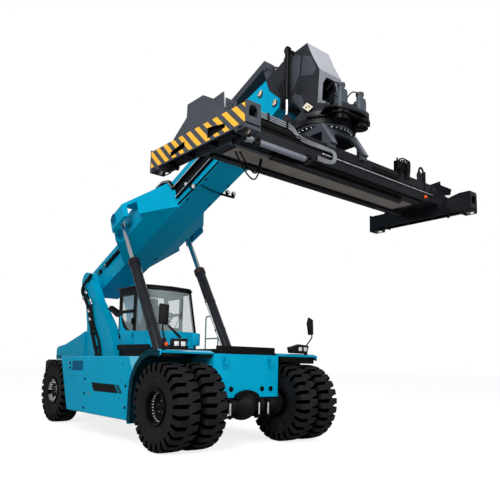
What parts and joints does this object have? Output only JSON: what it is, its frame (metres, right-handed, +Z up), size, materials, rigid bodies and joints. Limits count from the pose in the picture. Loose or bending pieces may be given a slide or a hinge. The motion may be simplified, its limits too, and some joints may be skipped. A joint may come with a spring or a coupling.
{
  "type": "reach stacker",
  "caption": "Wheeled container handler with a telescopic boom on rear towers, twin lift cylinders, a sliding cab, and a slewing top-lift spreader with twistlocks.",
  "frame": {"origin": "on the ground under the middle of the whole machine's box", "axes": "+X to the machine's left, +Y to its rear along its length, +Z up"},
  "size_m": [6.113, 11.435, 7.7291],
  "materials": {
    "frame_paint": "gloss",
    "boom_paint": "gloss",
    "dark_paint": "satin",
    "spreader_paint": "satin",
    "gearbox_paint": "satin",
    "axle_paint": "satin",
    "rim_paint": "satin",
    "chrome_rod": "polished",
    "machined_steel": "satin",
    "tyre_rubber": "matte",
    "cab_glass": "gloss",
    "lamp_plastic": "gloss",
    "console_plastic": "matte",
    "seat_fabric": "matte"
  },
  "bodies": {
    "chassis": {"chassis_frame": "frame_paint", "front_plate": "frame_paint", "drive_axle": "axle_paint", "steer_axle": "axle_paint", "front_fenders": "frame_paint", "side_tanks": "frame_paint", "counterweight": "frame_paint", "engine_hood": "frame_paint", "engine_block": "axle_paint", "lift_valves": "dark_paint", "cab_slide_rails": "dark_paint", "walkways": "machined_steel", "handrails": "dark_paint", "fender_lamps": "lamp_plastic", "mirrors": "lamp_plastic"},
    "front_wheels_left": {"front_tyres_left": "tyre_rubber", "front_rims_left": "rim_paint"},
    "front_wheels_right": {"front_tyres_right": "tyre_rubber", "front_rims_right": "rim_paint"},
    "knuckle_left": {"steering_knuckle_left": "axle_paint"},
    "knuckle_right": {"steering_knuckle_right": "axle_paint"},
    "rear_wheel_left": {"rear_tyre_left": "tyre_rubber", "rear_rim_left": "rim_paint"},
    "rear_wheel_right": {"rear_tyre_right": "tyre_rubber", "rear_rim_right": "rim_paint"},
    "cab": {"cab_body": "frame_paint", "cab_frame": "dark_paint", "cab_roof": "dark_paint", "windscreen": "cab_glass", "cab_glass": "cab_glass", "operator_seat": "seat_fabric", "steering_console": "console_plastic"},
    "door_left": {"cab_door_left": "dark_paint", "door_glass_left": "cab_glass"},
    "door_right": {"cab_door_right": "dark_paint", "door_glass_right": "cab_glass"},
    "boom": {"outer_boom": "boom_paint", "hose_track": "dark_paint"},
    "lift_cylinder_barrels": {"lift_barrels": "dark_paint"},
    "lift_cylinder_rods": {"lift_rods": "chrome_rod"},
    "inner_boom_and_nose": {"inner_boom": "boom_paint", "boom_nose": "dark_paint", "hose_tray": "dark_paint", "damper_barrels": "dark_paint"},
    "swing_damper_rods": {"damper_rods": "chrome_rod"},
    "rotator": {"rotator_housing": "spreader_paint", "slew_motors": "gearbox_paint"},
    "turntable": {"slew_ring": "machined_steel", "centre_frame": "spreader_paint"},
    "spreader": {"spreader_frame": "spreader_paint", "spread_cylinders": "spreader_paint"},
    "spreader_end_left": {"end_beam_left": "spreader_paint"},
    "spreader_end_right": {"end_beam_right": "spreader_paint"},
    "lock_front_left": {"twistlock_front_left": "machined_steel"},
    "lock_front_right": {"twistlock_front_right": "machined_steel"},
    "lock_rear_left": {"twistlock_rear_left": "machined_steel"},
    "lock_rear_right": {"twistlock_rear_right": "machined_steel"}
  },
  "joints": [
    {"name": "front_wheel_left", "type": "hinge", "parent": "chassis", "child": "front_wheels_left", "pos_m": [1.3, -2.28255, 0.82], "axis": [1, 0, 0], "continuous": true},
    {"name": "front_wheel_right", "type": "hinge", "parent": "chassis", "child": "front_wheels_right", "pos_m": [-1.7, -2.28255, 0.82], "axis": [1, 0, 0], "continuous": true},
    {"name": "steering_left", "type": "hinge", "parent": "chassis", "child": "knuckle_left", "pos_m": [0.85, 3.71745, 0.82], "axis": [0, 0, 1], "range_deg": [-45, 45]},
    {"name": "steering_right", "type": "hinge", "parent": "chassis", "child": "knuckle_right", "pos_m": [-1.25, 3.71745, 0.82], "axis": [0, 0, 1], "range_deg": [-45, 45]},
    {"name": "rear_wheel_left", "type": "hinge", "parent": "knuckle_left", "child": "rear_wheel_left", "pos_m": [1.188, 3.71745, 0.82], "axis": [1, 0, 0], "continuous": true},
    {"name": "rear_wheel_right", "type": "hinge", "parent": "knuckle_right", "child": "rear_wheel_right", "pos_m": [-1.588, 3.71745, 0.82], "axis": [1, 0, 0], "continuous": true},
    {"name": "cab_slide", "type": "slide", "parent": "chassis", "child": "cab", "axis": [0, 1, 0], "range_m": [-2.2, 0]},
    {"name": "door_left", "type": "hinge", "parent": "cab", "child": "door_left", "pos_m": [0.504, 1.83245, 2.7], "axis": [0, 0, 1], "range_deg": [0, 85]},
    {"name": "door_right", "type": "hinge", "parent": "cab", "child": "door_right", "pos_m": [-0.904, 1.83245, 2.7], "axis": [0, 0, -1], "range_deg": [0, 85]},
    {"name": "boom_lift", "type": "hinge", "parent": "chassis", "child": "boom", "pos_m": [-0.2, 3.91745, 3.86], "axis": [-1, 0, 0], "range_deg": [-22.6, 37.4]},
    {"name": "lift_cylinder_swing", "type": "hinge", "parent": "chassis", "child": "lift_cylinder_barrels", "pos_m": [-0.2, -0.95255, 1.3], "axis": [-1, 0, 0], "range_deg": [-0.7, 1.15]},
    {"name": "lift_cylinder_stroke", "type": "slide", "parent": "lift_cylinder_barrels", "child": "lift_cylinder_rods", "axis": [0, 0.5254, 0.8508], "range_m": [-1.06, 1.76]},
    {"name": "telescope", "type": "slide", "parent": "boom", "child": "inner_boom_and_nose", "axis": [0, 0.9232, -0.3843], "range_m": [-4, 0.85]},
    {"name": "damper_stroke", "type": "slide", "parent": "inner_boom_and_nose", "child": "swing_damper_rods", "axis": [0, 0, -1], "range_m": [-0.29, 0.175]},
    {"name": "spreader_tilt", "type": "hinge", "parent": "inner_boom_and_nose", "child": "rotator", "pos_m": [-0.2, -4.48245, 6.2517], "axis": [-1, 0, 0], "range_deg": [-37.4, 22.6]},
    {"name": "slewing", "type": "hinge", "parent": "rotator", "child": "turntable", "pos_m": [-0.2, -4.48245, 5.83], "axis": [0, 0, 1], "range_deg": [-95, 185]},
    {"name": "side_shift", "type": "slide", "parent": "turntable", "child": "spreader", "axis": [1, 0, 0], "range_m": [-1, 0.6]},
    {"name": "spread_left", "type": "slide", "parent": "spreader", "child": "spreader_end_left", "axis": [1, 0, 0], "range_m": [0, 3.066]},
    {"name": "spread_right", "type": "slide", "parent": "spreader", "child": "spreader_end_right", "axis": [-1, 0, 0], "range_m": [0, 3.066]},
    {"name": "twistlock_front_left", "type": "hinge", "parent": "spreader_end_left", "child": "lock_front_left", "pos_m": [2.9265, -5.61195, 4.8], "axis": [0, 0, 1], "range_deg": [0, 90]},
    {"name": "twistlock_rear_left", "type": "hinge", "parent": "spreader_end_left", "child": "lock_rear_left", "pos_m": [2.9265, -3.35295, 4.8], "axis": [0, 0, 1], "range_deg": [0, 90]},
    {"name": "twistlock_front_right", "type": "hinge", "parent": "spreader_end_right", "child": "lock_front_right", "pos_m": [-2.9265, -5.61195, 4.8], "axis": [0, 0, 1], "range_deg": [0, 90]},
    {"name": "twistlock_rear_right", "type": "hinge", "parent": "spreader_end_right", "child": "lock_rear_right", "pos_m": [-2.9265, -3.35295, 4.8], "axis": [0, 0, 1], "range_deg": [0, 90]}
  ],
  "couplings": [
    {"joint": "steering_right", "follows": "steering_left", "ratio": 1},
    {"joint": "lift_cylinder_swing", "follows": "boom_lift", "ratio": 0.03},
    {"joint": "lift_cylinder_stroke", "follows": "boom_lift", "m_per_rad": 2.68},
    {"joint": "damper_stroke", "follows": "boom_lift", "m_per_rad": -0.43},
    {"joint": "spreader_tilt", "follows": "boom_lift", "ratio": -1},
    {"joint": "spread_right", "follows": "spread_left", "ratio": 1},
    {"joint": "twistlock_rear_left", "follows": "twistlock_front_left", "ratio": 1},
    {"joint": "twistlock_front_right", "follows": "twistlock_front_left", "ratio": 1},
    {"joint": "twistlock_rear_right", "follows": "twistlock_front_left", "ratio": 1}
  ]
}
